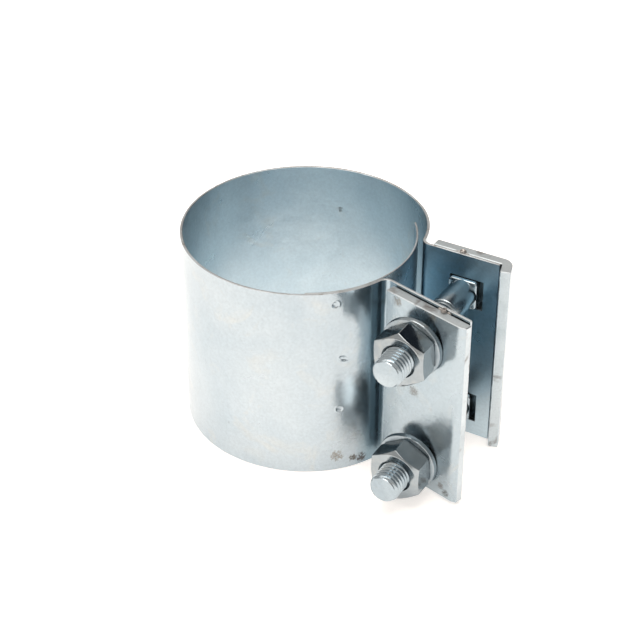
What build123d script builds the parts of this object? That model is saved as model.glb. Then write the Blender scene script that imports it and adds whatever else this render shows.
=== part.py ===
"""Two-bolt band clamp: an open steel ring with bent lugs, reinforcing bars, an inner bridge plate and bolts.

Frame: the origin is on the bore axis at the bottom rim and +Z runs along the bore. +X runs along the rear
lug and +Y towards the bolt heads. The ring is drawn relaxed, as it is before the nuts are tightened.
"""
from build123d import *
from math import atan2, cos, degrees, radians, sin, sqrt, tan
import os

# Band
BORE_RADIUS = 47.6
BAND_THICKNESS = 1.0
BAND_WIDTH = 82.0
LUG_BEND_RADIUS = 3.9        # on the side that faces the gap between the lugs
FLEX_GAP = 0.3               # slit left at each flex line
REAR_FLEX_ANGLE = 120.0      # flex lines of the band, as angles about the bore axis
FRONT_FLEX_ANGLE = -104.0
LUG_ANGLE = 14.4             # the front lug leans this far away from the rear lug

# Lugs, each in its own frame: u along the lug, v away from the gap
REAR_LUG_OFFSET = 12.0       # from the bore axis to the gap side of the lug
REAR_NECK_RADIUS = 37.2      # the ring tightens to this radius towards the lug
REAR_NECK_START = 50.0
REAR_LUG_END = 76.6
FRONT_LUG_OFFSET = 4.6
FRONT_NECK_RADIUS = 40.7
FRONT_NECK_START = 37.6
FRONT_LUG_END = 87.8

# Clamp bars
BAR_THICKNESS = 4.0
REAR_BAR_GAP = 0.4
REAR_BAR_START = 48.3
REAR_BAR_END = 77.0          # inner corner of the folded edge
FLANGE_LENGTH = 5.7
FLANGE_FOLD = 74.0
FLANGE_INNER_RADIUS = 0.7
FRONT_BAR_GAP = 0.5
FRONT_BAR_START = 51.5
FRONT_BAR_END = 88.9
FRONT_BAR_BOTTOM = 1.2       # the front bar is a little shorter than the band is wide
FRONT_BAR_TOP = 81.0
FRONT_BAR_CHAMFER_LENGTH = 2.5
FRONT_BAR_CHAMFER_DEPTH = 0.9

# Bridge plate
BRIDGE_THICKNESS = 0.7
BRIDGE_RADIUS = 45.0         # of the free part, outside face
BRIDGE_START = 45.6          # welded end, about the bore axis in the front lug's frame
BRIDGE_SWEEP = 58.7          # of the free part, past the lug bend

# Bolts, nuts and washers (M12)
BOLT_X = 62.6
BOLT_HEIGHTS = {"lower": 13.0, "upper": 65.8}
BOLT_LENGTH = 68.0
THREAD_RADIUS = 5.95
END_CHAMFER = 0.9
NECK_SIDE = 12.0
NECK_LENGTH = 7.1
NECK_CORNER = 1.6
HEAD_RADIUS = 12.0
HEAD_HEIGHT = 6.0
HEAD_RIM = 1.2
NUT_FLATS = 20.0
NUT_HEIGHT = 9.8
NUT_BORE_RADIUS = 6.0
NUT_FACE_RADIUS = 9.7
NUT_CHAMFER = 1.0
NUT_TURN = {"lower": 32.0, "upper": 33.0}
WASHER_RADIUS = 12.0
WASHER_HOLE_RADIUS = 6.5
WASHER_THICKNESS = 2.0
WASHER_CLEARANCE = 0.2       # to the leaning bar, at the washer's outer edge

# Holes in the lugs and bars
REAR_HOLE_U = 63.6
REAR_HOLE_WIDTH = 14.2
REAR_HOLE_HEIGHT = 12.8
FRONT_HOLE_U = 65.6
FRONT_HOLE_WIDTH = 17.2
FRONT_HOLE_HEIGHT = 13.4
FRONT_SLOT_LENGTH = 16.8
FRONT_SLOT_HEIGHT = 13.0

# Welds
SPOT_WELDS = {5.2: 30.0, 29.1: 28.9, 52.6: 27.0, 76.9: 31.2}     # height: angle about the neck's centre
SPOT_WELD_RADIUS = 1.5
SPOT_WELD_DIMPLE = 0.25
TACK_LENGTH = 5.0
TACK_DEPTH = 2.8
TACK_DOME_RADIUS = 2.2
TACK_DOME_HEIGHT = 0.6
REAR_TACK_U = 60.7
FRONT_TACK_U = 76.0


def polar(centre, radius, angle):
    """Point at an angle, in degrees, on a circle."""
    return (centre[0] + radius * cos(radians(angle)), centre[1] + radius * sin(radians(angle)))


def sector(centre, inner, outer, start, end):
    """Ring sector as a flat face."""
    middle = (start + end) / 2
    outer_arc = ThreePointArc(*(polar(centre, outer, angle) for angle in (start, middle, end)))
    inner_arc = ThreePointArc(*(polar(centre, inner, angle) for angle in (end, middle, start)))
    outline = Curve() + [outer_arc, Line(outer_arc @ 1, inner_arc @ 0), inner_arc, Line(inner_arc @ 1, outer_arc @ 0)]
    return make_face(outline)


def block(u_range, v_range, z_range):
    """Box between limits."""
    size = [high - low for low, high in (u_range, v_range, z_range)]
    low_corner = Pos(u_range[0], v_range[0], z_range[0])
    return low_corner * Box(*size, align=(Align.MIN, Align.MIN, Align.MIN))


def neck(offset, radius, start):
    """Centre of the neck arc, the angle where it ends about that centre, and the centre of the lug bend."""
    centre = polar((0, 0), BORE_RADIUS - radius, start)
    bend_v = offset + LUG_BEND_RADIUS
    bend_u = centre[0] + sqrt((radius + LUG_BEND_RADIUS) ** 2 - (bend_v - centre[1]) ** 2)
    end = degrees(atan2(bend_v - centre[1], bend_u - centre[0]))
    return centre, end, (bend_u, bend_v)


REAR_NECK = neck(REAR_LUG_OFFSET, REAR_NECK_RADIUS, REAR_NECK_START)
FRONT_NECK = neck(FRONT_LUG_OFFSET, FRONT_NECK_RADIUS, FRONT_NECK_START)
FLEX_SLIT_ANGLE = degrees(FLEX_GAP / 2 / BORE_RADIUS)


def in_model(shape, front):
    """Moves a shape from its lug's frame to the model's: the front lug is mirrored and leans away."""
    if front:
        return Rot(0, 0, -LUG_ANGLE) * mirror(shape, about=Plane.XZ)
    return shape


def hole_block(centre_u, width, height, offset):
    """Rectangular cutter through a lug or bar at each bolt."""
    cutters = []
    for bolt_z in BOLT_HEIGHTS.values():
        u_range = (centre_u - width / 2, centre_u + width / 2)
        z_range = (bolt_z - height / 2, bolt_z + height / 2)
        cutters.append(block(u_range, (offset - 10, offset + 10), z_range))
    return cutters


def spot_weld_cylinder(inner, outer):
    """Cylinders at the spot welds, between two radii about the front neck's centre."""
    centre, _, _ = FRONT_NECK
    height = outer - inner
    pieces = []
    for weld_z, angle in SPOT_WELDS.items():
        place = Pos(*polar(centre, inner, angle), weld_z) * Rot(0, 0, angle) * Rot(0, 90, 0)
        pieces.append(place * Cylinder(SPOT_WELD_RADIUS, height, align=(Align.CENTER, Align.CENTER, Align.MIN)))
    return pieces


def band_arm(front):
    """Half of the band, from its flex line through the neck and the bend to the end of its lug."""
    offset = FRONT_LUG_OFFSET if front else REAR_LUG_OFFSET
    radius = FRONT_NECK_RADIUS if front else REAR_NECK_RADIUS
    start = FRONT_NECK_START if front else REAR_NECK_START
    lug_end = FRONT_LUG_END if front else REAR_LUG_END
    rear_hole = (REAR_HOLE_U, REAR_HOLE_WIDTH, REAR_HOLE_HEIGHT)
    front_hole = (FRONT_HOLE_U, FRONT_HOLE_WIDTH, FRONT_HOLE_HEIGHT)
    flex = -FRONT_FLEX_ANGLE - LUG_ANGLE if front else REAR_FLEX_ANGLE
    centre, end, bend = FRONT_NECK if front else REAR_NECK
    thickness = BAND_THICKNESS
    profile = sector((0, 0), BORE_RADIUS, BORE_RADIUS + thickness, start, flex - FLEX_SLIT_ANGLE)
    profile += sector(centre, radius, radius + thickness, end, start)
    profile += sector(bend, LUG_BEND_RADIUS - thickness, LUG_BEND_RADIUS, 180 + end, 270)
    lug_middle = ((bend[0] + lug_end) / 2, offset + thickness / 2)
    profile += Pos(*lug_middle) * Rectangle(lug_end - bend[0], thickness)
    arm = extrude(profile, BAND_WIDTH)
    for cutter in hole_block(*(front_hole if front else rear_hole), offset):
        arm -= cutter
    if front:
        for weld in spot_weld_cylinder(FRONT_NECK_RADIUS - 1, FRONT_NECK_RADIUS + 2):
            arm -= weld
    return in_model(arm, front)


def band_back():
    """Part of the band between the two flex lines."""
    start = REAR_FLEX_ANGLE + FLEX_SLIT_ANGLE
    end = 360 + FRONT_FLEX_ANGLE - FLEX_SLIT_ANGLE
    return extrude(sector((0, 0), BORE_RADIUS, BORE_RADIUS + BAND_THICKNESS, start, end), BAND_WIDTH)


def bridge_plate():
    """Thin plate inside the band: welded to the front half, free past the mouth."""
    centre, end, _ = FRONT_NECK
    outer = FRONT_NECK_RADIUS
    welded = sector(centre, outer - BRIDGE_THICKNESS, outer, end, FRONT_NECK_START)
    seat = sector((0, 0), BORE_RADIUS - BRIDGE_THICKNESS, BORE_RADIUS, FRONT_NECK_START, BRIDGE_START)
    joint = polar(centre, outer, end)
    free_centre = polar(joint, -BRIDGE_RADIUS, end)
    free = sector(free_centre, BRIDGE_RADIUS - BRIDGE_THICKNESS, BRIDGE_RADIUS, end - BRIDGE_SWEEP, end)
    plate = extrude(welded + seat + free, BAND_WIDTH)
    for weld in spot_weld_cylinder(FRONT_NECK_RADIUS - 2, FRONT_NECK_RADIUS + 1):
        plate -= weld
    return in_model(plate, True)


def front_clamp_plate():
    """Flat bar outside the front lug, with a slot for each bolt and a bevelled outer edge."""
    inner = FRONT_LUG_OFFSET + BAND_THICKNESS + FRONT_BAR_GAP
    outer = inner + BAR_THICKNESS
    outline = Polyline(
        (FRONT_BAR_START, inner),
        (FRONT_BAR_END, inner),
        (FRONT_BAR_END, outer - FRONT_BAR_CHAMFER_DEPTH),
        (FRONT_BAR_END - FRONT_BAR_CHAMFER_LENGTH, outer),
        (FRONT_BAR_START, outer),
        close=True,
    )
    bar = Pos(0, 0, FRONT_BAR_BOTTOM) * extrude(make_face(outline), FRONT_BAR_TOP - FRONT_BAR_BOTTOM)
    for bolt_z in BOLT_HEIGHTS.values():
        slot = extrude(SlotOverall(FRONT_SLOT_LENGTH, FRONT_SLOT_HEIGHT), 20, both=True)
        bar -= Pos(FRONT_HOLE_U, inner, bolt_z) * Rot(90, 0, 0) * slot
    return in_model(bar, True)


def rear_clamp_plate():
    """Flat bar outside the rear lug; its outer edge is folded over the end of the lug."""
    inner = REAR_LUG_OFFSET + BAND_THICKNESS + REAR_BAR_GAP
    outer = inner + BAR_THICKNESS
    lean = 90 - FLANGE_FOLD
    along = (sin(radians(lean)), -cos(radians(lean)))
    across = (cos(radians(lean)), sin(radians(lean)))
    mitre = BAR_THICKNESS * tan(radians(FLANGE_FOLD / 2))
    tip = (REAR_BAR_END + FLANGE_LENGTH * along[0], inner + FLANGE_LENGTH * along[1])
    outline = Polyline(
        (REAR_BAR_START, inner),
        (REAR_BAR_END, inner),
        tip,
        (tip[0] + BAR_THICKNESS * across[0], tip[1] + BAR_THICKNESS * across[1]),
        (REAR_BAR_END + mitre, outer),
        (REAR_BAR_START, outer),
        close=True,
    )
    bar = extrude(make_face(outline), BAND_WIDTH)
    inner_fold = bar.edges().filter_by(Axis.Z).sort_by_distance((REAR_BAR_END, inner, BAND_WIDTH / 2))[0]
    bar = fillet(inner_fold, FLANGE_INNER_RADIUS)
    fold_corner = (REAR_BAR_END + mitre, outer, BAND_WIDTH / 2)
    outer_fold = bar.edges().filter_by(Axis.Z).sort_by_distance(fold_corner)[0]
    bar = fillet(outer_fold, FLANGE_INNER_RADIUS + BAR_THICKNESS)
    for cutter in hole_block(REAR_HOLE_U, REAR_HOLE_WIDTH, REAR_HOLE_HEIGHT, inner):
        bar -= cutter
    return bar


def turned(points):
    """Solid of revolution about Z from its half outline, which starts and ends on the axis or closes itself."""
    return revolve(make_face(Plane.XZ * Polyline(*points, close=True)), Axis.Z)


HEAD_SEAT_Y = REAR_LUG_OFFSET + BAND_THICKNESS + REAR_BAR_GAP + BAR_THICKNESS


def on_bolt(shape, side, seat_y):
    """Places a shape drawn along +Z so that it runs along a bolt, from seat_y towards the bolt's end."""
    return Pos(BOLT_X, seat_y, BOLT_HEIGHTS[side]) * Rot(90, 0, 0) * shape


def bolt(side):
    """Square-neck bolt with a round domed head."""
    shank = Pos(0, 0, 1) * Cylinder(THREAD_RADIUS, BOLT_LENGTH - 1, align=(Align.CENTER, Align.CENTER, Align.MIN))
    shank = chamfer(shank.faces().sort_by(Axis.Z)[-1].edges(), END_CHAMFER)
    square = extrude(RectangleRounded(NECK_SIDE, NECK_SIDE, NECK_CORNER), NECK_LENGTH)
    dome = HEAD_HEIGHT - HEAD_RIM
    dome_radius = (HEAD_RADIUS ** 2 + dome ** 2) / (2 * dome)
    cap = Pos(0, 0, -HEAD_HEIGHT + dome_radius) * Sphere(dome_radius)
    stub = Pos(0, 0, -HEAD_HEIGHT) * Cylinder(HEAD_RADIUS, HEAD_HEIGHT, align=(Align.CENTER, Align.CENTER, Align.MIN))
    return on_bolt(shank + square + (stub & cap), side, HEAD_SEAT_Y)


def washer_seat_y():
    """Y of the washer's inner face, where its outer edge just clears the leaning front bar."""
    bar_face = FRONT_LUG_OFFSET + BAND_THICKNESS + FRONT_BAR_GAP + BAR_THICKNESS
    edge_x = BOLT_X + WASHER_RADIUS
    return -(bar_face + edge_x * sin(radians(LUG_ANGLE))) / cos(radians(LUG_ANGLE)) - WASHER_CLEARANCE


def washer(side):
    """Plain round washer."""
    ring = Circle(WASHER_RADIUS) - Circle(WASHER_HOLE_RADIUS)
    return on_bolt(extrude(ring, WASHER_THICKNESS), side, washer_seat_y())


def nut(side):
    """Hexagon nut, bevelled on both faces."""
    prism = extrude(RegularPolygon(NUT_FLATS / 2, 6, major_radius=False), NUT_HEIGHT)
    corner_radius = NUT_FLATS / 2 / cos(radians(30))
    blank = turned([
        (0, 0),
        (NUT_FACE_RADIUS, 0),
        (corner_radius, NUT_CHAMFER),
        (corner_radius, NUT_HEIGHT - NUT_CHAMFER),
        (NUT_FACE_RADIUS, NUT_HEIGHT),
        (0, NUT_HEIGHT),
    ])
    bore = Cylinder(NUT_BORE_RADIUS, 3 * NUT_HEIGHT)
    shape = Rot(0, 0, NUT_TURN[side]) * ((prism & blank) - bore)
    return on_bolt(shape, side, washer_seat_y() - WASHER_THICKNESS)


def spot_welds():
    """Weld nuggets that join the bridge plate to the band, each in a shallow dimple of the band."""
    inner = FRONT_NECK_RADIUS - BRIDGE_THICKNESS
    outer = FRONT_NECK_RADIUS + BAND_THICKNESS - SPOT_WELD_DIMPLE
    return in_model(Compound(children=spot_weld_cylinder(inner + 0.1, outer)), True)


def tack_welds(front):
    """Weld plugs between a lug and its bar: one at the bar's top, with a small dome, and one at its bottom.

    The front bar's top is below the band's rim, so the dome stands on the bar's side of the band alone.
    """
    offset = FRONT_LUG_OFFSET if front else REAR_LUG_OFFSET
    gap = FRONT_BAR_GAP if front else REAR_BAR_GAP
    tack_u = FRONT_TACK_U if front else REAR_TACK_U
    bar_bottom = FRONT_BAR_BOTTOM if front else 0.2
    bar_top = FRONT_BAR_TOP if front else BAND_WIDTH
    v_range = (offset + BAND_THICKNESS, offset + BAND_THICKNESS + gap)
    u_range = (tack_u - TACK_LENGTH / 2, tack_u + TACK_LENGTH / 2)
    top = block(u_range, v_range, (bar_top - TACK_DEPTH, bar_top))
    dome_radius = (TACK_DOME_RADIUS ** 2 + TACK_DOME_HEIGHT ** 2) / (2 * TACK_DOME_HEIGHT)
    dome = Pos(tack_u, sum(v_range) / 2, bar_top + TACK_DOME_HEIGHT - dome_radius) * Sphere(dome_radius)
    dome_inside = v_range[0] if front else v_range[0] - 5
    above_bar = block((tack_u - 5, tack_u + 5), (dome_inside, v_range[1] + 5), (bar_top, bar_top + 5))
    bottom = block(u_range, v_range, (bar_bottom, bar_bottom + TACK_DEPTH))
    return in_model(Compound(children=[top + (dome & above_bar), bottom]), front)


def hinge_points():
    """Prints the flex lines and the nuts' travel, which the record states."""
    middle = BORE_RADIUS + BAND_THICKNESS / 2
    for name, angle in (("rear", REAR_FLEX_ANGLE), ("front", FRONT_FLEX_ANGLE)):
        print(name, "flex line", [round(value, 3) for value in polar((0, 0), middle, angle)])
    print("washer seat y", round(washer_seat_y(), 3), "head seat y", HEAD_SEAT_Y)


def write(name, shape):
    export_step(shape, f"parts/{name}.step")


def main():
    os.makedirs("parts", exist_ok=True)
    write("band_back", band_back())
    write("band_rear_arm", band_arm(False))
    write("band_front_arm", band_arm(True))
    write("bridge_plate", bridge_plate())
    write("rear_clamp_plate", rear_clamp_plate())
    write("front_clamp_plate", front_clamp_plate())
    for side in BOLT_HEIGHTS:
        write(f"{side}_bolt", bolt(side))
        write(f"{side}_nut", nut(side))
        write(f"{side}_washer", washer(side))
    write("spot_welds", spot_welds())
    write("rear_tack_welds", tack_welds(False))
    write("front_tack_welds", tack_welds(True))
    hinge_points()


main()
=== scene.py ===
"""Looks of the two-bolt band clamp: bent sheet, flat bars, threaded bolts, nuts, washers and welds."""

import math

import bmesh
import bpy
import numpy as np
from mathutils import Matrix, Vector, noise

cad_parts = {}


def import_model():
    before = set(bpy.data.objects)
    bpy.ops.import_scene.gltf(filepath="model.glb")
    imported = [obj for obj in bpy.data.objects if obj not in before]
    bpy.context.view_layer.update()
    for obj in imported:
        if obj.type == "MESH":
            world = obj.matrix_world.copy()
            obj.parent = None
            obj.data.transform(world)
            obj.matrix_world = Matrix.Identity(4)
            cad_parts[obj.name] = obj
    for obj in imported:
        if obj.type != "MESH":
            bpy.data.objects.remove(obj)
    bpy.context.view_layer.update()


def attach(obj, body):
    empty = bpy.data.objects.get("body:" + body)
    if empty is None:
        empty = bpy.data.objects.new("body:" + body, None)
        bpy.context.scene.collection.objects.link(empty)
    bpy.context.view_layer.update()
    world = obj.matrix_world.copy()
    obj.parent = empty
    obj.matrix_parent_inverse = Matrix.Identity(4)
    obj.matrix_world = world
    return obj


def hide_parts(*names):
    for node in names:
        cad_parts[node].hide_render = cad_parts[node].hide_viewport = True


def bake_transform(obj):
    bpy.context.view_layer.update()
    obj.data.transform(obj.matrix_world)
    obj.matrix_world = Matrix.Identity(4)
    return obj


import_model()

MM = 0.001

# Dimensions in millimetres and degrees. The main sizes are the CAD model's.
# Edges, threads and weld marks are drawn finer here.
WIDTH = 82.0
BORE = 47.6                               # inner radius of the band
BAND = 1.0                                # thickness of the band
BEND = 3.9                                # inner radius of the bend between band and lug
LEAN = 14.4                               # angle of the front lug away from the rear one
REAR = {"offset": 12.0, "neck_radius": 37.2, "neck_start": 50.0, "end": 76.6, "seam": 188.0}
FRONT = {"offset": 4.6, "neck_radius": 40.7, "neck_start": 37.6, "end": 87.8, "seam": 157.6}
REAR_HOLE_U = 63.6                        # middle of the square holes, along the rear lug
REAR_HOLE_LENGTH = 14.2
REAR_HOLE_HEIGHT = 12.8
FRONT_HOLE_U = 65.6                       # middle of the slots, along the front lug
FRONT_HOLE_LENGTH = 17.2
FRONT_HOLE_HEIGHT = 13.4
SHEET_EDGE = 0.15                         # rounding of the band's edges

BRIDGE_THICKNESS = 0.7
BRIDGE_EDGE = 0.12
BRIDGE_SEAT_START = 45.6
BRIDGE_FREE_RADIUS = 45.0                 # outer radius of the part that crosses the mouth
BRIDGE_FREE_SWEEP = 58.7

BAR_THICKNESS = 4.0
BAR_EDGE = 0.3
FRONT_BAR_GAP = 0.5                       # between the lug and the bar
FRONT_BAR_START = 51.5
FRONT_BAR_END = 88.9
FRONT_BAR_BOTTOM = 1.2
FRONT_BAR_TOP = 81.0
FRONT_BAR_BEVEL = 2.5                     # run of the bevel along the outer edge
FRONT_BAR_BEVEL_DROP = 0.9
FRONT_BAR_FACE = FRONT["offset"] + BAND + FRONT_BAR_GAP + BAR_THICKNESS
SLOT_STEPS = ((4.4, 13.0), (6.0, 12.0), (7.2, 10.1), (8.0, 7.5), (8.4, 4.5))   # half length, height
REAR_BAR_GAP = 0.4
REAR_BAR_START = 48.3
REAR_BAR_CORNER = 77.0
REAR_BAR_FOLD = 74.0
REAR_BAR_FOLD_RADIUS = 0.7
REAR_BAR_FLANGE = 5.7

BOLT_X = 62.6
BOLT_HEIGHTS = {"lower": 13.0, "upper": 65.8}
HEAD_SEAT_Y = 17.4
HEAD_RADIUS = 12.0
HEAD_HEIGHT = 6.0
HEAD_DOME = 4.8                           # rise of the domed part of the head
SQUARE_HALF = 6.0                         # half width of the square neck
SQUARE_END = 7.1
BOLT_LENGTH = 68.0
THREAD_START = 22.5
THREAD_RADIUS = 5.95
ROOT_RADIUS = 4.95
PITCH = 1.75

WASHER_SEAT_Y = -29.782
WASHER_RADIUS = 12.0
WASHER_HOLE = 6.5
WASHER_THICKNESS = 2.0
NUT_FLATS = 20.0
NUT_HEIGHT = 9.8
NUT_FACE = 9.5                            # radius of the flat ring on each face
NUT_BORE = 5.96
NUT_COUNTERSINK = 6.75
NUT_THREAD_DEPTH = 0.35
NUT_TURN = {"lower": 32.0, "upper": 33.0}

SPOT_ANGLE = 29.4                         # of the row of spot welds, on the neck
SPOT_HEIGHTS = (5.2, 29.1, 52.6, 76.9)
SPOT_SHIFTS = (0.6, -0.5, -2.4, 1.8)      # degrees that each weld is off its line
SPOT_SLANTS = (0.1, 0.2, 0.75, 0.0)       # lean of each weld's mark
SPOT_RADIUS = 1.35
SPOT_DEPTH = 0.26
SPOT_LIP = 0.12
REAR_TACK_U = 60.7
FRONT_TACK_U = 76.0


# ---------------------------------------------------------------- frames and paths

def polar(centre, radius, angle):
    """Point at an angle, in degrees, on a circle."""
    turned = math.radians(angle)
    return (centre[0] + radius * math.cos(turned), centre[1] + radius * math.sin(turned))


def rear_frame(points):
    """The rear lug's frame is the model's."""
    return np.asarray(points, float)


def front_frame(points):
    """From the front lug's frame, which is mirrored and leans away, to the model's."""
    points = np.asarray(points, float)
    angle = math.radians(-LEAN)
    x, y, z = points[:, 0], -points[:, 1], points[:, 2]
    return np.c_[x * math.cos(angle) - y * math.sin(angle), x * math.sin(angle) + y * math.cos(angle), z]


def neck(lug):
    """Centre of the neck arc, the angle where it ends, and the centre of the lug bend."""
    centre = polar((0, 0), BORE - lug["neck_radius"], lug["neck_start"])
    bend_v = lug["offset"] + BEND
    bend_u = centre[0] + math.sqrt((lug["neck_radius"] + BEND) ** 2 - (bend_v - centre[1]) ** 2)
    end = math.degrees(math.atan2(bend_v - centre[1], bend_u - centre[0]))
    return centre, end, (bend_u, bend_v)


class Path:
    """Plan line of a sheet: points on its inner face and the unit normals towards its outer face."""

    def __init__(self):
        self.points, self.normals, self.tags = [], [], []

    def arc(self, centre, radius, start, end, step, outward=1, tag=""):
        count = max(2, int(round(abs(end - start) / step)))
        for i in range(count + 1):
            angle = start + (end - start) * i / count
            direction = polar((0, 0), 1, angle)
            normal = (outward * direction[0], outward * direction[1])
            self.add(polar(centre, radius, angle), normal, (tag, angle))
        return self

    def line(self, start, end, normal, stops, tag=""):
        """Straight run with a station at each stop, a distance from start."""
        length = math.dist(start, end)
        for stop in stops:
            share = stop / length
            point = (start[0] + (end[0] - start[0]) * share, start[1] + (end[1] - start[1]) * share)
            self.add(point, normal, (tag, stop))
        return self

    def add(self, point, normal, tag):
        if self.points and math.dist(self.points[-1], point) < 1e-6:
            return
        self.points.append(point)
        self.normals.append(normal)
        self.tags.append(tag)


def stops_between(start, end, step, *fixed):
    """Even stops from start to end that also include the fixed ones."""
    marks = sorted({start, end, *fixed})
    result = [marks[0]]
    for low, high in zip(marks, marks[1:]):
        count = max(1, int(round((high - low) / step)))
        result += [low + (high - low) * i / count for i in range(1, count + 1)]
    return result


# ---------------------------------------------------------------- meshes

def make_object(name, verts, faces, place, materials, face_materials=None, sharp=32.0):
    """Mesh object from millimetre points, with outward normals and smooth shading up to the sharp angle."""
    data = bpy.data.meshes.new(name)
    data.from_pydata([tuple(p) for p in place(verts) * MM], [], faces)
    for material in materials:
        data.materials.append(material)
    if face_materials is not None:
        data.polygons.foreach_set("material_index", np.asarray(face_materials, dtype=np.int32))
    edit = bmesh.new()
    edit.from_mesh(data)
    bmesh.ops.remove_doubles(edit, verts=edit.verts, dist=2e-7)
    bmesh.ops.dissolve_degenerate(edit, edges=edit.edges, dist=1e-7)
    bmesh.ops.recalc_face_normals(edit, faces=edit.faces)
    edit.to_mesh(data)
    edit.free()
    data.shade_smooth()
    data.set_sharp_from_angle(angle=math.radians(sharp))
    piece = bpy.data.objects.new(name, data)
    bpy.context.scene.collection.objects.link(piece)
    return piece


def sheet(name, path, thickness, levels, place, materials, edge=SHEET_EDGE, holes=(), outer=None,
          inner=None, ends=(True, True), rise=(0.0, WIDTH)):
    """Sheet of steel that stands on its edge: a plan path, raised through the levels, with holes.

    thickness is one number or one for each station. outer and inner give how far a point of that face
    moves along the normal. holes are (first station, last station, low level, high level) by index, and
    may overlap.
    ends says which ends are free edges, and rise is the lowest and the highest point. materials are for the
    outer face, the edges and, if it differs, the inner face.
    """
    stations = len(path.points)
    thick = np.full(stations, thickness, float) if np.isscalar(thickness) else np.asarray(thickness, float)
    count = len(levels)
    loop = 2 * count + 4
    verts = []
    for i, (point, normal) in enumerate(zip(path.points, path.normals)):
        first, last = i == 0 and ends[0], i == stations - 1 and ends[1]
        inset = edge if first or last else 0.0
        t = thick[i]

        def at(depth, z):
            return (point[0] + normal[0] * depth, point[1] + normal[1] * depth, z)

        def squeeze(z):
            return min(max(z, rise[0] + edge + inset), rise[1] - edge - inset)

        for z in levels:
            move = outer(i, z) if outer else 0.0
            verts.append(at(t - inset + move, squeeze(z)))
        verts += [at(t - edge - inset * 0.3, rise[1] - inset), at(edge + inset * 0.3, rise[1] - inset)]
        for z in reversed(levels):
            move = inner(i, z) if inner else 0.0
            verts.append(at(inset + move, squeeze(z)))
        verts += [at(edge + inset * 0.3, rise[0] + inset), at(t - edge - inset * 0.3, rise[0] + inset)]

    hole_cells = set()
    for i0, i1, k0, k1 in holes:
        hole_cells |= {(i, k) for i in range(i0, i1) for k in range(k0, k1)}

    def out_index(i, k):
        return i * loop + k

    def in_index(i, k):
        return i * loop + 2 * count + 1 - k

    faces, kinds = [], []
    inside = 2 if len(materials) > 2 else 0

    def face(kind, *corners):
        faces.append(corners)
        kinds.append(kind)

    for i in range(stations - 1):
        for k in range(count - 1):
            if (i, k) in hole_cells:
                continue
            face(0, out_index(i, k), out_index(i + 1, k), out_index(i + 1, k + 1), out_index(i, k + 1))
            face(inside, in_index(i, k), in_index(i, k + 1), in_index(i + 1, k + 1), in_index(i + 1, k))
        for j in (count - 1, count, count + 1, 2 * count + 1, 2 * count + 2, 2 * count + 3):
            nxt = (j + 1) % loop
            face(1, i * loop + j, (i + 1) * loop + j, (i + 1) * loop + nxt, i * loop + nxt)
    for i, k in hole_cells:
        for di, dk, a, b in ((-1, 0, (i, k), (i, k + 1)), (1, 0, (i + 1, k), (i + 1, k + 1)),
                             (0, -1, (i, k), (i + 1, k)), (0, 1, (i, k + 1), (i + 1, k + 1))):
            if (i + di, k + dk) not in hole_cells:
                face(1, out_index(*a), out_index(*b), in_index(*b), in_index(*a))
    for i in (0, stations - 1):
        for k in range(count - 1):
            face(1, out_index(i, k), out_index(i, k + 1), in_index(i, k + 1), in_index(i, k))
        face(1, out_index(i, count - 1), i * loop + count, i * loop + count + 1, in_index(i, count - 1))
        face(1, out_index(i, 0), in_index(i, 0), i * loop + 2 * count + 2, i * loop + 2 * count + 3)
    return make_object(name, verts, faces, place, materials, kinds)


def revolve(profile, steps=64):
    """Points and faces of a closed outline, as (radius, z) pairs, turned about Z."""
    verts, faces = [], []
    count = len(profile)
    for i in range(steps):
        angle = 2 * math.pi * i / steps
        verts += [(r * math.cos(angle), r * math.sin(angle), z) for r, z in profile]
    for i in range(steps):
        for j in range(count):
            a, b = i * count, (i + 1) % steps * count
            nxt = (j + 1) % count
            faces.append((a + j, b + j, b + nxt, a + nxt))
    return verts, faces


def on_bolt(side, seat_y):
    """Placing function: a shape drawn along +Z runs from seat_y towards the bolt's end."""
    def place(points):
        points = np.asarray(points, float)
        return np.c_[BOLT_X + points[:, 0], seat_y - points[:, 2], BOLT_HEIGHTS[side] + points[:, 1]]
    return place


def turn(points, angle):
    """Points turned about Z, in degrees."""
    points = np.asarray(points, float)
    c, s = math.cos(math.radians(angle)), math.sin(math.radians(angle))
    return np.c_[points[:, 0] * c - points[:, 1] * s, points[:, 0] * s + points[:, 1] * c, points[:, 2]]


def bevel(piece, width, angle=30.0, segments=2):
    """Rounds a piece's edges, width in millimetres."""
    modifier = piece.modifiers.new("edge", "BEVEL")
    modifier.width = width * MM
    modifier.segments = segments
    modifier.limit_method = "ANGLE"
    modifier.angle_limit = math.radians(angle)
    modifier.harden_normals = False
    return piece


# ---------------------------------------------------------------- materials

def ramp(tree, source, stops):
    """Colour ramp over a value, stops as (position, colour) pairs."""
    made = tree.nodes.new("ShaderNodeValToRGB")
    elements = made.color_ramp.elements
    while len(elements) > len(stops):
        elements.remove(elements[-1])
    while len(elements) < len(stops):
        elements.new(1.0)
    for element, (position, colour) in zip(elements, stops):
        element.position = position
        element.color = (*colour, 1.0) if len(colour) == 3 else colour
    tree.links.new(source, made.inputs["Fac"])
    return made.outputs["Color"]


def grey(value):
    return (value, value, value)


def mix(tree, factor, low, high, blend="MIX"):
    """Mix of two colours; each is a socket or a colour."""
    made = tree.nodes.new("ShaderNodeMix")
    made.data_type = "RGBA"
    made.blend_type = blend
    for label, kind, value in (("Factor", "VALUE", factor), ("A", "RGBA", low), ("B", "RGBA", high)):
        target = [s for s in made.inputs if s.name == label and s.type == kind][0]
        if isinstance(value, bpy.types.NodeSocket):
            tree.links.new(value, target)
        elif kind == "VALUE":
            target.default_value = value
        else:
            target.default_value = (*value, 1.0)
    return [s for s in made.outputs if s.type == "RGBA"][0]


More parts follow.
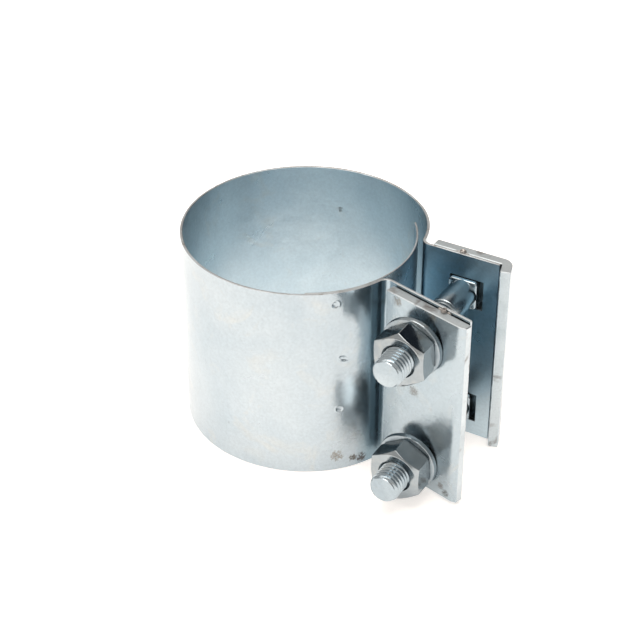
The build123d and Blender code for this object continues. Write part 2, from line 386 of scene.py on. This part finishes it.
def noise_at(tree, coords, scale, detail=3.0, rough=0.5, distortion=0.0):
    made = tree.nodes.new("ShaderNodeTexNoise")
    made.inputs["Scale"].default_value = scale
    made.inputs["Detail"].default_value = detail
    made.inputs["Roughness"].default_value = rough
    made.inputs["Distortion"].default_value = distortion
    tree.links.new(coords, made.inputs["Vector"])
    return made.outputs["Fac"]


def math_node(tree, operation, *values, clamp=False):
    made = tree.nodes.new("ShaderNodeMath")
    made.operation = operation
    made.use_clamp = clamp
    for socket, value in zip(made.inputs, values):
        if isinstance(value, bpy.types.NodeSocket):
            tree.links.new(value, socket)
        else:
            socket.default_value = value
    return made.outputs[0]


def distance_to(tree, coords, centre):
    """Distance in metres from a point given in millimetres."""
    made = tree.nodes.new("ShaderNodeVectorMath")
    made.operation = "DISTANCE"
    tree.links.new(coords, made.inputs[0])
    made.inputs[1].default_value = [c * MM for c in centre]
    return made.outputs["Value"]


def zinc(name, light, dark, roughness=(0.28, 0.42), bump=0.25, stain=(0.62, 0.58, 0.5), stain_share=0.25,
         grain=900.0, cloud=22.0, spots=(), painted_shades=()):
    """Zinc-plated steel: cloudy tint, fine speckle, faint warm stains and small dark scuffs.

    spots are (centre in mm, radius in mm, colour, noise scale) of local burns and smudges. Each entry of the
    shade list is (centre in mm, share of height that counts, full radius, outer radius, factor) of painted
    shade: a darker patch of colour that stands in for shade.
    """
    material = bpy.data.materials.new(name)
    material.use_nodes = True
    tree = material.node_tree
    tree.nodes.clear()
    out = tree.nodes.new("ShaderNodeOutputMaterial")
    shader = tree.nodes.new("ShaderNodeBsdfPrincipled")
    tree.links.new(shader.outputs[0], out.inputs[0])
    coords = tree.nodes.new("ShaderNodeTexCoord").outputs["Object"]
    clouds = noise_at(tree, coords, cloud, 4.0, 0.55, 0.6)
    speckle = noise_at(tree, coords, grain, 2.0, 0.6)
    patches = noise_at(tree, coords, cloud * 2.6, 5.0, 0.62, 1.2)
    scuffs = noise_at(tree, coords, cloud * 7.0, 6.0, 0.72, 2.5)
    colour = ramp(tree, clouds, ((0.34, dark), (0.66, light)))
    stained = ramp(tree, patches, ((0.56, grey(0)), (0.72, grey(stain_share))))
    colour = mix(tree, stained, colour, stain)
    marks = ramp(tree, scuffs, ((0.66, grey(0)), (0.72, grey(0.35))))
    colour = mix(tree, marks, colour, tuple(0.45 * c for c in dark))
    fine = ramp(tree, speckle, ((0.30, grey(0.90)), (0.70, grey(1.0))))
    colour = mix(tree, 1.0, colour, fine, "MULTIPLY")
    # Painted shade: the colour is darkened near each given point, in place of shade.
    for centre, flatten, full, outer, factor in painted_shades:
        squeezed = tree.nodes.new("ShaderNodeVectorMath")
        squeezed.operation = "MULTIPLY"
        tree.links.new(coords, squeezed.inputs[0])
        squeezed.inputs[1].default_value = (1, 1, flatten)
        away = distance_to(tree, squeezed.outputs[0], (centre[0], centre[1], centre[2] * flatten))
        share = math_node(tree, "DIVIDE", away, outer * MM, clamp=True)
        painted_shade = ramp(tree, share, ((full / outer, factor), (1.0, grey(1))))
        colour = mix(tree, 1.0, colour, painted_shade, "MULTIPLY")
    for centre, radius, tint, scale in spots:
        away = math_node(tree, "DIVIDE", distance_to(tree, coords, centre), radius * MM)
        fade = math_node(tree, "SUBTRACT", 1.0, away, clamp=True)
        lumps = noise_at(tree, coords, scale, 5.0, 0.65, 1.0)
        fade = math_node(tree, "POWER", fade, 0.35)
        mask = math_node(tree, "MULTIPLY", fade, lumps)
        mask = ramp(tree, mask, ((0.345, grey(0)), (0.44, grey(0.8))))
        colour = mix(tree, mask, colour, tint)
    tree.links.new(colour, shader.inputs["Base Color"])
    shader.inputs["Metallic"].default_value = 1.0
    streaks = noise_at(tree, coords, cloud * 1.7, 5.0, 0.6, 0.8)
    haze = ramp(tree, streaks, ((0.3, grey(roughness[0])), (0.7, grey(roughness[1]))))
    tree.links.new(haze, shader.inputs["Roughness"])
    fine_bump = tree.nodes.new("ShaderNodeBump")
    fine_bump.inputs["Strength"].default_value = bump
    fine_bump.inputs["Distance"].default_value = 0.00004
    tree.links.new(speckle, fine_bump.inputs["Height"])
    soft_bump = tree.nodes.new("ShaderNodeBump")
    soft_bump.inputs["Strength"].default_value = 0.5
    soft_bump.inputs["Distance"].default_value = 0.00025
    tree.links.new(noise_at(tree, coords, 160.0, 2.0, 0.5), soft_bump.inputs["Height"])
    tree.links.new(soft_bump.outputs[0], fine_bump.inputs["Normal"])
    tree.links.new(fine_bump.outputs[0], shader.inputs["Normal"])
    return material


def on_front_bar(u, z):
    """Point on the outer face of the front bar."""
    return front_frame([(u, FRONT_BAR_FACE, z)])[0]


def on_band(radius, angle, z):
    """Point on the round part of the band."""
    return polar((0, 0), radius, angle) + (z,)


# Painted shade: a darker, bluer patch on the inside of the rear lug's upper part, where the front lug shades
# the gap between the lugs.
REAR_LUG_PAINTED_SHADE = ((60, 14, 57), 0.9, 16.0, 40.0, (0.50, 0.66, 0.76))
# Painted shade: a dark strip on the outside of the front bend, in place of the dark reflection in the
# concave bend.
FRONT_BEND_PAINTED_SHADE = ((42.0, -22.0, 0), 0.0, 2.0, 8.0, (0.62, 0.74, 0.80))
band_burns = (
    (on_band(BORE + BAND, -33.4, 3.0), 3.6, (0.05, 0.03, 0.02), 1000.0),
    (on_band(BORE + BAND, -37.5, 4.0), 2.6, (0.07, 0.05, 0.03), 1100.0),
    (on_band(BORE + BAND, -45.5, 6.6), 4.0, (0.24, 0.22, 0.19), 1200.0),
)
inside_smudge = ((on_band(BORE, 103.4, 63.3), 2.0, (0.20, 0.22, 0.23), 600.0),)
# The outside of the band carries the painted shade at the front bend.
band_zinc = zinc("band zinc", (0.500, 0.560, 0.595), (0.430, 0.500, 0.545), roughness=(0.19, 0.28),
                 spots=band_burns, painted_shades=(FRONT_BEND_PAINTED_SHADE,))
# Painted light: the inside of the band is a lighter, bluer copy of the band zinc, in place of the light
# inside the ring.
inner_zinc_painted_light = zinc("band zinc inside painted light", (0.560, 0.665, 0.720), (0.485, 0.600, 0.665), roughness=(0.26, 0.38),
                  spots=inside_smudge, painted_shades=(REAR_LUG_PAINTED_SHADE,))
bridge_zinc = zinc("bridge zinc", (0.50, 0.60, 0.66), (0.43, 0.54, 0.61), roughness=(0.24, 0.34))
bar_zinc = zinc("bar zinc", (0.455, 0.525, 0.565), (0.395, 0.470, 0.515), roughness=(0.21, 0.31), spots=(
    (on_front_bar(57.1, 78.4), 3.4, (0.20, 0.19, 0.17), 1700.0),
    (on_front_bar(73.9, 79.5), 3.8, (0.24, 0.22, 0.19), 1500.0),
    (on_front_bar(66.5, 42.8), 3.6, (0.20, 0.20, 0.19), 1700.0),
    (on_front_bar(84.1, 3.9), 2.6, (0.10, 0.10, 0.09), 1900.0),
    (on_front_bar(81.6, 6.2), 2.4, (0.18, 0.17, 0.16), 1900.0),
))
edge_zinc = zinc("sheared edge", (0.62, 0.67, 0.70), (0.44, 0.46, 0.47), roughness=(0.30, 0.5), bump=0.9,
                 stain=(0.20, 0.16, 0.12), stain_share=0.8, grain=1600.0, cloud=60.0)
bar_edge_zinc = zinc("bar edge", (0.60, 0.66, 0.69), (0.48, 0.54, 0.57), roughness=(0.28, 0.42), bump=0.6,
                     stain=(0.17, 0.15, 0.14), stain_share=0.85, grain=1400.0, cloud=40.0)
nut_zinc = zinc("nut zinc", (0.39, 0.43, 0.45), (0.28, 0.32, 0.345), roughness=(0.13, 0.20), cloud=50.0)
bolt_zinc = zinc("bolt zinc", (0.47, 0.535, 0.57), (0.32, 0.385, 0.43), roughness=(0.14, 0.24), cloud=50.0)
washer_zinc = zinc("washer zinc", (0.36, 0.41, 0.44), (0.28, 0.33, 0.365), roughness=(0.20, 0.30),
                   cloud=60.0)
weld_zinc = zinc("weld zinc", (0.50, 0.48, 0.46), (0.20, 0.19, 0.18), roughness=(0.3, 0.6), bump=1.0,
                 stain=(0.12, 0.10, 0.09), stain_share=0.8, grain=1500.0, cloud=300.0)


# ---------------------------------------------------------------- the band

def waviness(place, point, z, amplitude, seed):
    """Slow unevenness of rolled sheet, in millimetres."""
    x, y, _ = place([(point[0], point[1], z)])[0]
    return amplitude * noise.noise(Vector((x / 26 + seed, y / 26, z / 34)))


def hole_edges(middle, length, start):
    """Distances along a run, from its start, of the two ends of a hole."""
    return [middle - length / 2 - start, middle + length / 2 - start]


def hole_levels(height):
    """Heights of the lower and upper limits of the holes for both bolts."""
    marks = []
    for middle in BOLT_HEIGHTS.values():
        marks += [middle - height / 2, middle + height / 2]
    return marks


def hole_indices(path, tag, edges, levels, height):
    """Index limits of the holes for both bolts, between two stops of a tagged run."""
    columns = []
    for i, (name, stop) in enumerate(path.tags):
        if name == tag and min(abs(stop - e) for e in edges) < 1e-6:
            columns.append(i)
    result = []
    for middle in BOLT_HEIGHTS.values():
        low = int(np.argmin(np.abs(np.array(levels) - (middle - height / 2))))
        high = int(np.argmin(np.abs(np.array(levels) - (middle + height / 2))))
        result.append((columns[0], columns[-1], low, high))
    return result


def spot_mark(k, angle, z, radius):
    """How far the outer face moves at a spot weld: a shallow dish with an uneven lip."""
    height, slant = SPOT_HEIGHTS[k], SPOT_SLANTS[k]
    across = math.radians(angle - SPOT_ANGLE - SPOT_SHIFTS[k]) * (radius + BAND)
    far = math.hypot(across - slant * (z - height), (z - height) * (1 + 0.35 * slant)) / SPOT_RADIUS
    if far >= 2.2:
        return 0.0
    dish = -SPOT_DEPTH * max(0.0, 1 - far ** 2) ** 0.5
    lip = SPOT_LIP * math.exp(-((far - 1.15) / 0.22) ** 2)
    uneven = 0.5 + 0.6 * math.sin(math.atan2(z - height, across) + 1.3 * k + 0.4)
    return dish + lip * uneven


def band_half(name, lug, place, hole, spots):
    """One half of the band, from the back seam to the end of its lug, with the spot welds' marks or without.

    hole is the middle, the length and the height of the holes in the lug.
    """
    centre, neck_end, bend = neck(lug)
    path = Path()
    seam = lug["seam"]
    path.arc((0, 0), BORE, seam, seam - 1.6, 0.4, tag="ring")
    path.arc((0, 0), BORE, seam - 1.6, lug["neck_start"], 1.5, tag="ring")
    radius = lug["neck_radius"]
    if spots:
        path.arc(centre, radius, lug["neck_start"], SPOT_ANGLE + 5.5, 1.0, tag="neck")
        path.arc(centre, radius, SPOT_ANGLE + 5.5, SPOT_ANGLE - 6.5, 0.36, tag="neck")
        path.arc(centre, radius, SPOT_ANGLE - 6.5, neck_end, 1.2, tag="neck")
    else:
        path.arc(centre, radius, lug["neck_start"], neck_end, 1.2, tag="neck")
    path.arc(bend, BEND, 180 + neck_end, 270, 4.5, outward=-1, tag="bend")
    hole_u, hole_length, hole_height = hole
    length = lug["end"] - bend[0]
    edges = hole_edges(hole_u, hole_length, bend[0])
    stops = stops_between(0.0, length - SHEET_EDGE, 1.6, *edges) + [length]
    path.line((bend[0], lug["offset"]), (lug["end"], lug["offset"]), (0, 1), stops, tag="lug")
    marks = hole_levels(hole_height)
    levels = stops_between(SHEET_EDGE, WIDTH - SHEET_EDGE, 2.0, *marks)
    if spots:
        fine = [z + d for z in SPOT_HEIGHTS for d in np.linspace(-3.0, 3.0, 25)]
        coarse = [z for z in levels if z in marks or all(abs(z - s) > 3.3 for s in SPOT_HEIGHTS)]
        levels = sorted(coarse + fine)
    holes = hole_indices(path, "lug", edges, levels, hole_height)

    def outer(i, z):
        tag, angle = path.tags[i]
        move = waviness(place, path.points[i], z, 0.10 if tag == "ring" else 0.05, 3.0)
        if spots and tag == "neck":
            move += sum(spot_mark(k, angle, z, radius) for k in range(len(SPOT_HEIGHTS)))
        return move

    def inner(i, z):
        tag, _ = path.tags[i]
        return waviness(place, path.points[i], z, 0.07, 8.0) if tag == "ring" and not spots else 0.0

    return sheet(name, path, BAND, levels, place, [band_zinc, edge_zinc, inner_zinc_painted_light], holes=holes,
                 outer=outer, inner=inner, ends=(False, True))


rear_hole = (REAR_HOLE_U, REAR_HOLE_LENGTH, REAR_HOLE_HEIGHT)
rear_half = band_half("band_rear_half", REAR, rear_frame, rear_hole, False)
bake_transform(rear_half)
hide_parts("band_rear_arm", "band_back")
front_hole = (FRONT_HOLE_U, FRONT_HOLE_LENGTH, FRONT_HOLE_HEIGHT)
front_half = band_half("band_front_half", FRONT, front_frame, front_hole, True)
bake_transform(front_half)
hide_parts("band_front_arm", "spot_welds")


# ---------------------------------------------------------------- bridge plate and bars

def bridge_plate():
    """Thin plate inside the band, from its welded seat to its free end past the mouth."""
    centre, neck_end, _ = neck(FRONT)
    radius = FRONT["neck_radius"]
    seat_radius = BORE - BRIDGE_THICKNESS
    free_radius = BRIDGE_FREE_RADIUS - BRIDGE_THICKNESS
    last_bit = neck_end - BRIDGE_FREE_SWEEP + 0.2
    path = Path()
    path.arc((0, 0), seat_radius, BRIDGE_SEAT_START, BRIDGE_SEAT_START - 0.6, 0.3, tag="seat")
    path.arc((0, 0), seat_radius, BRIDGE_SEAT_START - 0.6, FRONT["neck_start"], 1.5, tag="seat")
    path.arc(centre, radius - BRIDGE_THICKNESS, FRONT["neck_start"], neck_end, 1.5, tag="neck")
    joint = polar(centre, radius, neck_end)
    free_centre = polar(joint, -BRIDGE_FREE_RADIUS, neck_end)
    path.arc(free_centre, free_radius, neck_end, last_bit, 1.3, tag="free")
    path.arc(free_centre, free_radius, last_bit, neck_end - BRIDGE_FREE_SWEEP, 0.2, tag="free")
    levels = stops_between(BRIDGE_EDGE, WIDTH - BRIDGE_EDGE, 2.5)
    return sheet("bridge_sheet", path, BRIDGE_THICKNESS, levels, front_frame, [bridge_zinc, edge_zinc],
                 edge=BRIDGE_EDGE)


bridge = bridge_plate()
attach(bridge, "front_arm")
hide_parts("bridge_plate")


def front_bar():
    """Flat bar outside the front lug, bevelled along its outer edge, with two rounded slots."""
    inner_v = FRONT["offset"] + BAND + FRONT_BAR_GAP
    length = FRONT_BAR_END - FRONT_BAR_START
    bevel_start = length - FRONT_BAR_BEVEL
    step_edges = []
    step_levels = []
    for half, height in SLOT_STEPS:
        step_edges.append(hole_edges(FRONT_HOLE_U, 2 * half, FRONT_BAR_START))
        step_levels += hole_levels(height)
    stops = [0.0] + stops_between(BAR_EDGE, bevel_start, 2.0, *sum(step_edges, []))
    stops += [length - 1.4, length - BAR_EDGE, length]
    path = Path()
    path.line((FRONT_BAR_START, inner_v), (FRONT_BAR_END, inner_v), (0, 1), stops, tag="bar")
    slope = FRONT_BAR_BEVEL_DROP / FRONT_BAR_BEVEL
    thick = [BAR_THICKNESS - max(0.0, stop - bevel_start) * slope for stop in stops]
    levels = stops_between(FRONT_BAR_BOTTOM + BAR_EDGE, FRONT_BAR_TOP - BAR_EDGE, 2.5, *step_levels)
    holes = []
    for edges, (half, height) in zip(step_edges, SLOT_STEPS):
        holes += hole_indices(path, "bar", edges, levels, height)

    def outer(i, z):
        return waviness(front_frame, path.points[i], z, 0.05, 15.0)

    return sheet("front_bar", path, thick, levels, front_frame, [bar_zinc, bar_edge_zinc], edge=BAR_EDGE,
                 holes=holes, outer=outer, rise=(FRONT_BAR_BOTTOM, FRONT_BAR_TOP))


def rear_bar():
    """Flat bar outside the rear lug, its outer edge folded over the end of the lug."""
    inner_v = REAR["offset"] + BAND + REAR_BAR_GAP
    back_off = REAR_BAR_FOLD_RADIUS * math.tan(math.radians(REAR_BAR_FOLD / 2))
    fold_start = REAR_BAR_CORNER - back_off
    fold_end = 90 - REAR_BAR_FOLD
    edges = hole_edges(REAR_HOLE_U, REAR_HOLE_LENGTH, REAR_BAR_START)
    stops = [0.0] + stops_between(BAR_EDGE, fold_start - REAR_BAR_START, 2.0, *edges)
    path = Path()
    path.line((REAR_BAR_START, inner_v), (fold_start, inner_v), (0, 1), stops, tag="bar")
    centre = (fold_start, inner_v - REAR_BAR_FOLD_RADIUS)
    path.arc(centre, REAR_BAR_FOLD_RADIUS, 90, fold_end, 7.0, tag="fold")
    normal = polar((0, 0), 1, fold_end)
    along = (normal[1], -normal[0])
    begin = polar(centre, REAR_BAR_FOLD_RADIUS, fold_end)
    run = REAR_BAR_FLANGE - back_off
    finish = (begin[0] + along[0] * run, begin[1] + along[1] * run)
    path.line(begin, finish, normal, stops_between(0.0, run - BAR_EDGE, 1.2) + [run], tag="flange")
    levels = stops_between(BAR_EDGE, WIDTH - BAR_EDGE, 2.5, *hole_levels(REAR_HOLE_HEIGHT))
    holes = hole_indices(path, "bar", edges, levels, REAR_HOLE_HEIGHT)

    def outer(i, z):
        return waviness(rear_frame, path.points[i], z, 0.05, 21.0)

    return sheet("rear_bar", path, BAR_THICKNESS, levels, rear_frame, [bar_zinc, bar_edge_zinc],
                 edge=BAR_EDGE, holes=holes, outer=outer)


front_plate = front_bar()
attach(front_plate, "front_arm")
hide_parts("front_clamp_plate")
rear_plate = rear_bar()
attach(rear_plate, "rear_arm")
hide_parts("rear_clamp_plate")


# ---------------------------------------------------------------- bolts, nuts, washers

def thread_points(start, end, steps=56):
    """Helical thread between two distances along the bolt, tapered at both ends, as points and faces."""
    crest_to_crest = ((0.0, 1.0), (0.07, 0.97), (0.22, 0.60), (0.40, 0.06), (0.5, 0.0), (0.60, 0.06),
                      (0.78, 0.60), (0.93, 0.97))
    depth = THREAD_RADIUS - ROOT_RADIUS
    first = math.floor(start / PITCH) - 1
    last = math.ceil(end / PITCH) + 1
    verts, faces, rings = [], [], []
    for turn_number in range(first, last):
        for phase, share in crest_to_crest:
            rings.append((turn_number + phase, share))
    for ring, share in rings:
        for i in range(steps + 1):
            z = (ring + i / steps) * PITCH
            radius = ROOT_RADIUS + depth * share
            to_end = end - z
            if to_end < 1.3:
                radius = min(radius, THREAD_RADIUS - 0.8 * (1 - max(to_end, 0.0) / 1.3))
            run_out = z - start
            if run_out < 1.6:
                radius = max(radius, THREAD_RADIUS - depth * max(run_out, 0.0) / 1.6)
            z = min(max(z, start), end)
            angle = 2 * math.pi * i / steps
            verts.append((radius * math.cos(angle), radius * math.sin(angle), z))
    row = steps + 1
    for j in range(len(rings) - 1):
        for i in range(steps):
            a = j * row + i
            faces.append((a, a + 1, a + row + 1, a + row))
    return verts, faces


def square_ring(half, corner, z, steps=7):
    """Ring of points round a square with rounded corners."""
    ring = []
    for quarter in range(4):
        middle = (half - corner) * math.sqrt(2)
        centre = polar((0, 0), middle, 45 + 90 * quarter)
        for i in range(steps + 1):
            x, y = polar(centre, corner, 90 * quarter + 90 * i / steps)
            ring.append((x, y, z))
    return ring


def bridge_rings(verts, faces, lower, upper):
    """Faces between two rings of equal count."""
    start = len(verts)
    count = len(lower)
    verts += lower + upper
    for i in range(count):
        j = (i + 1) % count
        faces.append((start + i, start + j, start + count + j, start + count + i))


def bolt(side):
    """Square-neck bolt: domed head, neck, plain shank and rolled thread with a bevelled, dished end."""
    verts, faces = [], []

    def add(new_verts, new_faces):
        base = len(verts)
        verts.extend(new_verts)
        faces.extend(tuple(base + i for i in f) for f in new_faces)

    head = [(0.0, 1.0), (0.0, -HEAD_HEIGHT)]
    dome_radius = (HEAD_RADIUS ** 2 + HEAD_DOME ** 2) / (2 * HEAD_DOME)
    for i in range(1, 13):
        angle = math.asin(HEAD_RADIUS / dome_radius) * i / 12
        head.append((dome_radius * math.sin(angle), -HEAD_HEIGHT + dome_radius * (1 - math.cos(angle))))
    head += [(HEAD_RADIUS, -0.5), (HEAD_RADIUS - 0.1, -0.25), (HEAD_RADIUS - 0.4, 0.0)]
    head += [(5.0, 0.0), (5.0, 1.0)]
    add(*revolve(head, 72))
    sections = ((0.0, SQUARE_HALF, 1.6), (SQUARE_END - 0.6, SQUARE_HALF, 1.6),
                (SQUARE_END - 0.25, SQUARE_HALF - 0.1, 1.7), (SQUARE_END, SQUARE_HALF - 0.4, 1.9))
    rings = [square_ring(half, corner, z) for z, half, corner in sections]
    rings.append([(p[0] * 0.7, p[1] * 0.7, SQUARE_END) for p in rings[-1]])
    for lower, upper in zip(rings, rings[1:]):
        bridge_rings(verts, faces, lower, upper)
    shank = [(3.0, 6.0), (THREAD_RADIUS, 6.0), (THREAD_RADIUS, THREAD_START), (3.0, THREAD_START)]
    add(*revolve(shank, 56))
    add(*thread_points(THREAD_START, BOLT_LENGTH - 0.05))
    tip = ((3.5, 4), (3.5, 0.9), (5.2, 0.4), (5.05, 0.08), (4.7, 0), (3.4, 0.05), (0.0, 0.1), (0.0, 4))
    add(*revolve([(radius, BOLT_LENGTH - below) for radius, below in tip], 56))
    place = on_bolt(side, HEAD_SEAT_Y)
    return make_object(f"{side}_bolt_steel", verts, faces, place, [bolt_zinc], sharp=38.0)


def nut(side):
    """Hexagon nut: both faces coned off at the corners, countersunk bore, threaded inside."""
    height, slope = NUT_HEIGHT, math.tan(math.radians(30))
    steps = 180
    verts, faces = [], []
    count = 0
    for i in range(steps):
        angle = 360.0 * i / steps
        off = (angle + 30) % 60 - 30
        side_radius = NUT_FLATS / 2 / math.cos(math.radians(30 - abs(off)))
        corner_drop = max(0.0, side_radius - NUT_FACE) * slope
        ring = [(NUT_BORE, 0.9), (NUT_COUNTERSINK, 0.0), (NUT_FACE, 0.0), (side_radius, corner_drop),
                (side_radius, height / 2), (side_radius, height - corner_drop), (NUT_FACE, height),
                (NUT_COUNTERSINK, height), (NUT_BORE, height - 0.9)]
        for z in np.linspace(height - 1.2, 1.2, 18):
            wave = 0.5 - 0.5 * math.cos(2 * math.pi * (z / PITCH - angle / 360))
            ring.append((NUT_BORE + NUT_THREAD_DEPTH * wave, z))
        count = len(ring)
        c, s = math.cos(math.radians(angle)), math.sin(math.radians(angle))
        verts += [(r * c, r * s, z) for r, z in ring]
    for i in range(steps):
        a, b = i * count, (i + 1) % steps * count
        for j in range(count):
            nxt = (j + 1) % count
            faces.append((a + j, b + j, b + nxt, a + nxt))
    verts = turn(verts, NUT_TURN[side])
    place = on_bolt(side, WASHER_SEAT_Y - WASHER_THICKNESS)
    piece = make_object(f"{side}_nut_steel", verts, faces, place, [nut_zinc], sharp=24.0)
    return bevel(piece, 0.16, 24.0, 2)


def washer(side):
    """Punched washer: rolled edge on one side, crisp on the other."""
    rim, hole, t = WASHER_RADIUS, WASHER_HOLE, WASHER_THICKNESS
    profile = [(hole + 0.1, 0.0), (rim - 0.1, 0.0), (rim, 0.1), (rim, t - 0.45), (rim - 0.13, t - 0.15),
               (rim - 0.45, t), (hole + 0.4, t), (hole + 0.12, t - 0.12), (hole, t - 0.4), (hole, 0.1)]
    verts, faces = revolve(profile, 96)
    place = on_bolt(side, WASHER_SEAT_Y)
    return make_object(f"{side}_washer_steel", verts, faces, place, [washer_zinc], sharp=30.0)


for side in BOLT_HEIGHTS:
    for maker, kind, body in (
        (bolt, "bolt", "rear_arm"),
        (nut, "nut", f"{side}_nut"),
        (washer, "washer", f"{side}_washer"),
    ):
        made = maker(side)
        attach(made, body)
        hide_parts(f"{side}_{kind}")


# ---------------------------------------------------------------- tack welds

def weld_bead(centre, size, seed, crater):
    """Lumpy bead of weld metal as points and faces, with an optional crater on top."""
    edit = bmesh.new()
    bmesh.ops.create_icosphere(edit, subdivisions=4, radius=1.0)
    for v in edit.verts:
        direction = v.co.normalized()
        broad = noise.noise(direction * 2.1 + Vector((seed, 0, 0)))
        fine = noise.noise(direction * 5.3 + Vector((0, seed, 0)))
        lump = 1 + 0.16 * broad + 0.07 * fine
        if crater:
            near = max(0.0, direction.dot(Vector((0.15, -0.1, 1)).normalized()) - 0.86) / 0.14
            lump -= 0.28 * near ** 0.7
        v.co = direction * lump
    verts = [tuple(c + part * s for c, part, s in zip(centre, v.co, size)) for v in edit.verts]
    faces = [tuple(v.index for v in f.verts) for f in edit.faces]
    edit.free()
    return verts, faces


def tack_welds(name, lug, gap, tack_u, place, seed, rise):
    """Beads that bridge the band's rim and the bar's, at the top and at the bottom."""
    middle = lug["offset"] + BAND + gap / 2
    verts, faces = [], []
    beads = [((tack_u, middle + 0.35, rise[1] - 0.1), (1.35, 1.35, 1.15), seed, True),
             ((tack_u - 1.9, middle, rise[1] - 0.45), (1.3, 0.55, 0.6), seed + 3, False),
             ((tack_u + 1.9, middle, rise[1] - 0.45), (1.1, 0.5, 0.55), seed + 5, False),
             ((tack_u, middle, rise[0] + 0.9), (2.2, 0.8, 0.8), seed + 9, False)]
    for bead in beads:
        new_verts, new_faces = weld_bead(*bead)
        base = len(verts)
        verts += new_verts
        faces += [tuple(base + i for i in f) for f in new_faces]
    return make_object(name, verts, faces, place, [weld_zinc], sharp=60.0)


rear_rise = (0.1, WIDTH)
front_rise = (FRONT_BAR_BOTTOM, FRONT_BAR_TOP + 0.3)
for name, lug, gap, tack_u, place, seed, rise, body in (
    ("rear_tack_beads", REAR, REAR_BAR_GAP, REAR_TACK_U, rear_frame, 1.7, rear_rise, "rear_arm"),
    ("front_tack_beads", FRONT, FRONT_BAR_GAP, FRONT_TACK_U, front_frame, 6.4, front_rise, "front_arm"),
):
    beads = tack_welds(name, lug, gap, tack_u, place, seed, rise)
    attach(beads, body)
    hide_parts(name.replace("beads", "welds"))


# ---------------------------------------------------------------- floor, light and camera

LIGHT_COLOUR = (1.0, 0.93, 0.87)
WALL_COLOUR = (1.0, 0.94, 0.885)
DARK_COLOUR = (0.02, 0.03, 0.045)


def floor():
    """Pale plane, a little below the clamp, that glows enough to look white."""
    data = bpy.data.meshes.new("floor")
    reach = 3.0
    corners = [(-reach, -reach, 0), (reach, -reach, 0), (reach, reach, 0), (-reach, reach, 0)]
    data.from_pydata(corners, [], [(0, 1, 2, 3)])
    plane = bpy.data.objects.new("floor", data)
    bpy.context.scene.collection.objects.link(plane)
    material = bpy.data.materials.new("pale floor")
    material.use_nodes = True
    shader = material.node_tree.nodes["Principled BSDF"]
    shader.inputs["Base Color"].default_value = (0.90, 0.90, 0.90, 1)
    shader.inputs["Roughness"].default_value = 0.9
    shader.inputs["Specular IOR Level"].default_value = 0.1
    shader.inputs["Emission Color"].default_value = (1.0, 0.94, 0.89, 1)
    shader.inputs["Emission Strength"].default_value = 0.52
    data.materials.append(material)
    plane.location.z = -0.0002


def area_light(name, location, size, power):
    """Soft rectangular light that points at the clamp's middle."""
    target = (0, 0, 0.04)
    data = bpy.data.lights.new(name, "AREA")
    data.shape = "RECTANGLE"
    data.size, data.size_y = size
    data.energy = power
    data.color = LIGHT_COLOUR
    lamp = bpy.data.objects.new(name, data)
    lamp.location = location
    lamp.rotation_mode = "QUATERNION"
    lamp.rotation_quaternion = (Vector(target) - Vector(location)).to_track_quat("-Z", "Y")
    bpy.context.scene.collection.objects.link(lamp)


def world():
    """Pale surroundings with one dark side, behind and to the right, that the steel mirrors."""
    made = bpy.data.worlds.new("studio")
    bpy.context.scene.world = made
    made.use_nodes = True
    tree = made.node_tree
    background = tree.nodes["Background"]
    split = tree.nodes.new("ShaderNodeSeparateXYZ")
    tree.links.new(tree.nodes.new("ShaderNodeTexCoord").outputs["Generated"], split.inputs[0])
    behind = ramp(tree, split.outputs["Y"], ((0.20, grey(0)), (0.55, grey(1))))
    above = ramp(tree, split.outputs["Z"], ((0.04, grey(0)), (0.22, grey(1))))
    right = ramp(tree, math_node(tree, "ADD", split.outputs["X"], 0.5), ((0.25, grey(0)), (0.60, grey(1))))
    dark = math_node(tree, "MULTIPLY", math_node(tree, "MULTIPLY", behind, above), right)
    tree.links.new(mix(tree, dark, WALL_COLOUR, DARK_COLOUR), background.inputs["Color"])
    background.inputs["Strength"].default_value = 0.75


def camera():
    """Camera above and to the front right of the clamp."""
    data = bpy.data.cameras.new("camera")
    data.lens = 92.8
    data.sensor_width = 36.0
    data.clip_start, data.clip_end = 0.01, 20
    made = bpy.data.objects.new("camera", data)
    made.location = (0.2803, -0.4708, 0.4080)
    made.rotation_mode = "QUATERNION"
    made.rotation_quaternion = Vector((-0.4170, 0.7165, -0.5592)).to_track_quat("-Z", "Y")
    bpy.context.scene.collection.objects.link(made)
    bpy.context.scene.camera = made


floor()
world()
camera()
area_light("key", (-0.45, -0.55, 1.15), (1.1, 0.9), 3.5)
area_light("top", (0.05, 0.0, 1.2), (0.8, 0.8), 9)
bpy.context.scene.view_settings.view_transform = "Standard"
